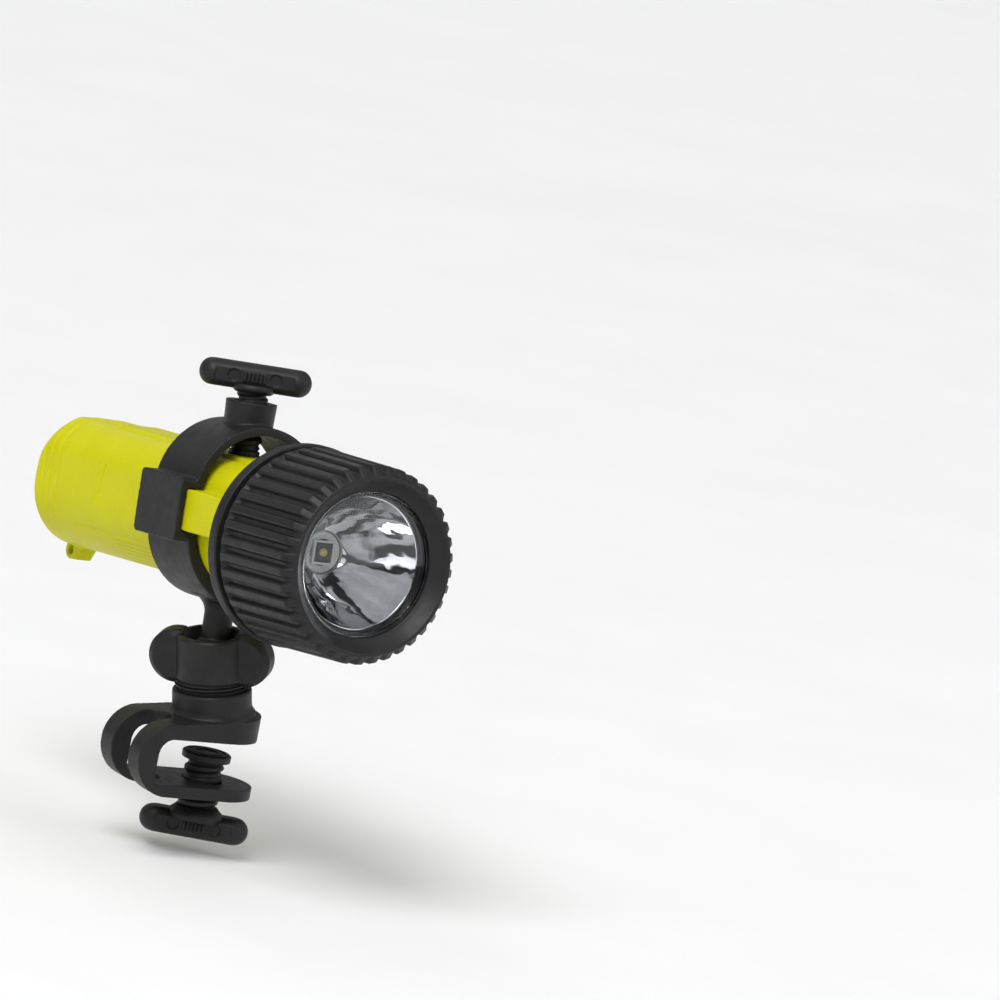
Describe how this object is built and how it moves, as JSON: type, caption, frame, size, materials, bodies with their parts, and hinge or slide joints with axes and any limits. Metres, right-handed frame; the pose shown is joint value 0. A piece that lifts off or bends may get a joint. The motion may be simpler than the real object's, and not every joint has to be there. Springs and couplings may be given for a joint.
{
  "type": "miner's cap lamp",
  "caption": "Hand-torch style cap lamp with a ribbed twist bezel, held by a collar on a ball joint above a screw clamp for a hard-hat brim.",
  "frame": {"origin": "underside of the clamp's upper jaw, on the axis of the clamp screw", "axes": "+Z is normal to the brim and points up through the upper jaw; the throat opens towards +X; the beam leaves roughly towards -Y"},
  "size_m": [0.0529, 0.1424, 0.1207],
  "materials": {
    "clamp_plastic": "black, fine spark texture",
    "seat_plastic": "dark grey, smooth, slightly waxy",
    "yellow_plastic": "fluorescent yellow-green, faint moulding texture",
    "bezel_rubber": "black, dull, grippy",
    "seal_rubber": "black, smooth",
    "lens_clear": "clear polycarbonate",
    "reflector_mirror": "vacuum-metallised mirror",
    "led_ceramic": "white ceramic with a yellow phosphor under a clear dome",
    "board_green": "solder mask",
    "sink_aluminium": "turned",
    "module_plastic": "black",
    "contact_brass": "bright, lightly tarnished",
    "spring_steel": "nickel plated",
    "cell_sleeve": "plain metallic sleeve"
  },
  "bodies": {
    "clamp": {"clamp_frame": "clamp_plastic"},
    "clamp_pad": {"clamp_screw_pad": "clamp_plastic"},
    "clamp_screw": {"clamp_screw": "clamp_plastic"},
    "nut_ring": {"pressure_ring": "seat_plastic"},
    "wing_nut": {"wing_nut": "clamp_plastic"},
    "seat": {"ball_seat": "seat_plastic"},
    "collar": {"collar": "clamp_plastic"},
    "top_pad": {"top_screw_pad": "clamp_plastic"},
    "top_screw": {"top_screw": "clamp_plastic"},
    "lamp": {"lamp_tube": "yellow_plastic", "neck_o_ring": "seal_rubber", "contact_strip": "contact_brass", "tail_plate": "contact_brass", "tail_spring": "spring_steel", "battery_cell_front": "cell_sleeve", "battery_cell_rear": "cell_sleeve"},
    "lamp_module": {"module_housing": "module_plastic", "reflector": "reflector_mirror", "led_package": "led_ceramic", "led_board": "board_green", "heat_sink": "sink_aluminium", "driver_board": "board_green", "front_contact": "contact_brass", "strip_contact": "contact_brass"},
    "bezel": {"bezel": "bezel_rubber", "lens": "lens_clear", "lens_seal": "seal_rubber"}
  },
  "joints": [
    {"name": "clamp_screw_travel", "type": "slide", "parent": "clamp", "child": "clamp_pad", "axis": [0, 0, 1], "range_m": [-0.0036, 0.0033]},
    {"name": "clamp_screw_turn", "type": "hinge", "parent": "clamp_pad", "child": "clamp_screw", "pos_m": [0, 0, -0.0235], "axis": [0, 0, 1], "range_deg": [-450, 420]},
    {"name": "wing_nut_travel", "type": "slide", "parent": "clamp", "child": "nut_ring", "axis": [-0.2079, 0, 0.9781], "range_m": [0, 0.00075]},
    {"name": "wing_nut_turn", "type": "hinge", "parent": "nut_ring", "child": "wing_nut", "pos_m": [-0.0038, 0, 0.01976], "axis": [-0.2079, 0, 0.9781], "range_deg": [0, 92]},
    {"name": "lamp_pan", "type": "hinge", "parent": "clamp", "child": "seat", "pos_m": [-0.00359, 0, 0.01878], "axis": [-0.2079, 0, 0.9781], "continuous": true},
    {"name": "lamp_tilt", "type": "hinge", "parent": "seat", "child": "collar", "pos_m": [-0.00359, 0, 0.01878], "axis": [0.9974, 0.0661, -0.0284], "range_deg": [-11, 21]},
    {"name": "top_screw_travel", "type": "slide", "parent": "collar", "child": "top_pad", "axis": [0.0211, 0.1081, 0.9939], "range_m": [0, 0.0075]},
    {"name": "top_screw_turn", "type": "hinge", "parent": "top_pad", "child": "top_screw", "pos_m": [-0.00211, 0.00757, 0.08836], "axis": [0.0211, 0.1081, 0.9939], "range_deg": [0, 1100]},
    {"name": "lamp_slide", "type": "slide", "parent": "collar", "child": "lamp", "axis": [0.0688, -0.9919, 0.1064], "range_m": [0, 0.042]},
    {"name": "bezel_travel", "type": "slide", "parent": "lamp", "child": "lamp_module", "axis": [-0.0688, 0.9919, -0.1064], "range_m": [0, 0.00075]},
    {"name": "bezel_turn", "type": "hinge", "parent": "lamp_module", "child": "bezel", "pos_m": [0.00145, -0.05875, 0.05897], "axis": [-0.0688, 0.9919, -0.1064], "range_deg": [0, 92]}
  ],
  "couplings": [
    {"joint": "clamp_screw_turn", "follows": "clamp_screw_travel", "rad_per_m": 2094.4},
    {"joint": "wing_nut_turn", "follows": "wing_nut_travel", "rad_per_m": 2094.4},
    {"joint": "top_screw_turn", "follows": "top_screw_travel", "rad_per_m": 2513.3},
    {"joint": "bezel_turn", "follows": "bezel_travel", "rad_per_m": 2094.4}
  ]
}
